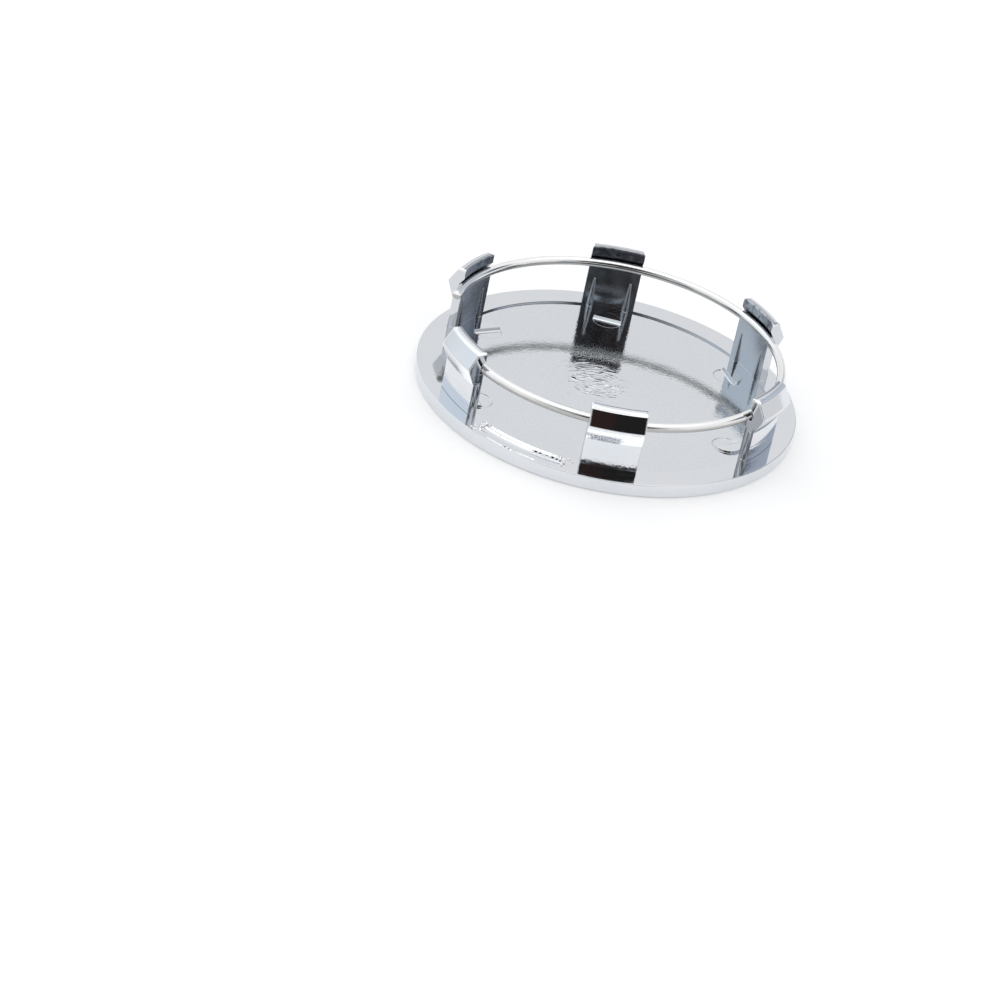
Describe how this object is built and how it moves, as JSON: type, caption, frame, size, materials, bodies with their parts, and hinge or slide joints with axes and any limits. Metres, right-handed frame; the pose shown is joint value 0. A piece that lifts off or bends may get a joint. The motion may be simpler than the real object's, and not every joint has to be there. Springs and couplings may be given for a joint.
{
  "type": "wheel centre cap",
  "caption": "Round mirror-chromed wheel centre cap lying face down, with barbed snap clips on its back and a split spring-wire ring that presses the clips outwards.",
  "frame": {"origin": "middle of the mirror face, which the cap lies on", "axes": "+Z out of the back of the cap, along the clips and into the wheel; -Y towards one clip; the gap of the ring looks along -X"},
  "size_m": [0.076, 0.076, 0.016],
  "materials": {
    "chrome_plate": "mirror-bright chrome plate on moulded plastic, a little satin on the floor of the recess",
    "spring_wire": "bright drawn spring wire"
  },
  "bodies": {
    "root": {"cap_body": "chrome_plate", "retaining_ring": "spring_wire"}
  },
  "joints": []
}
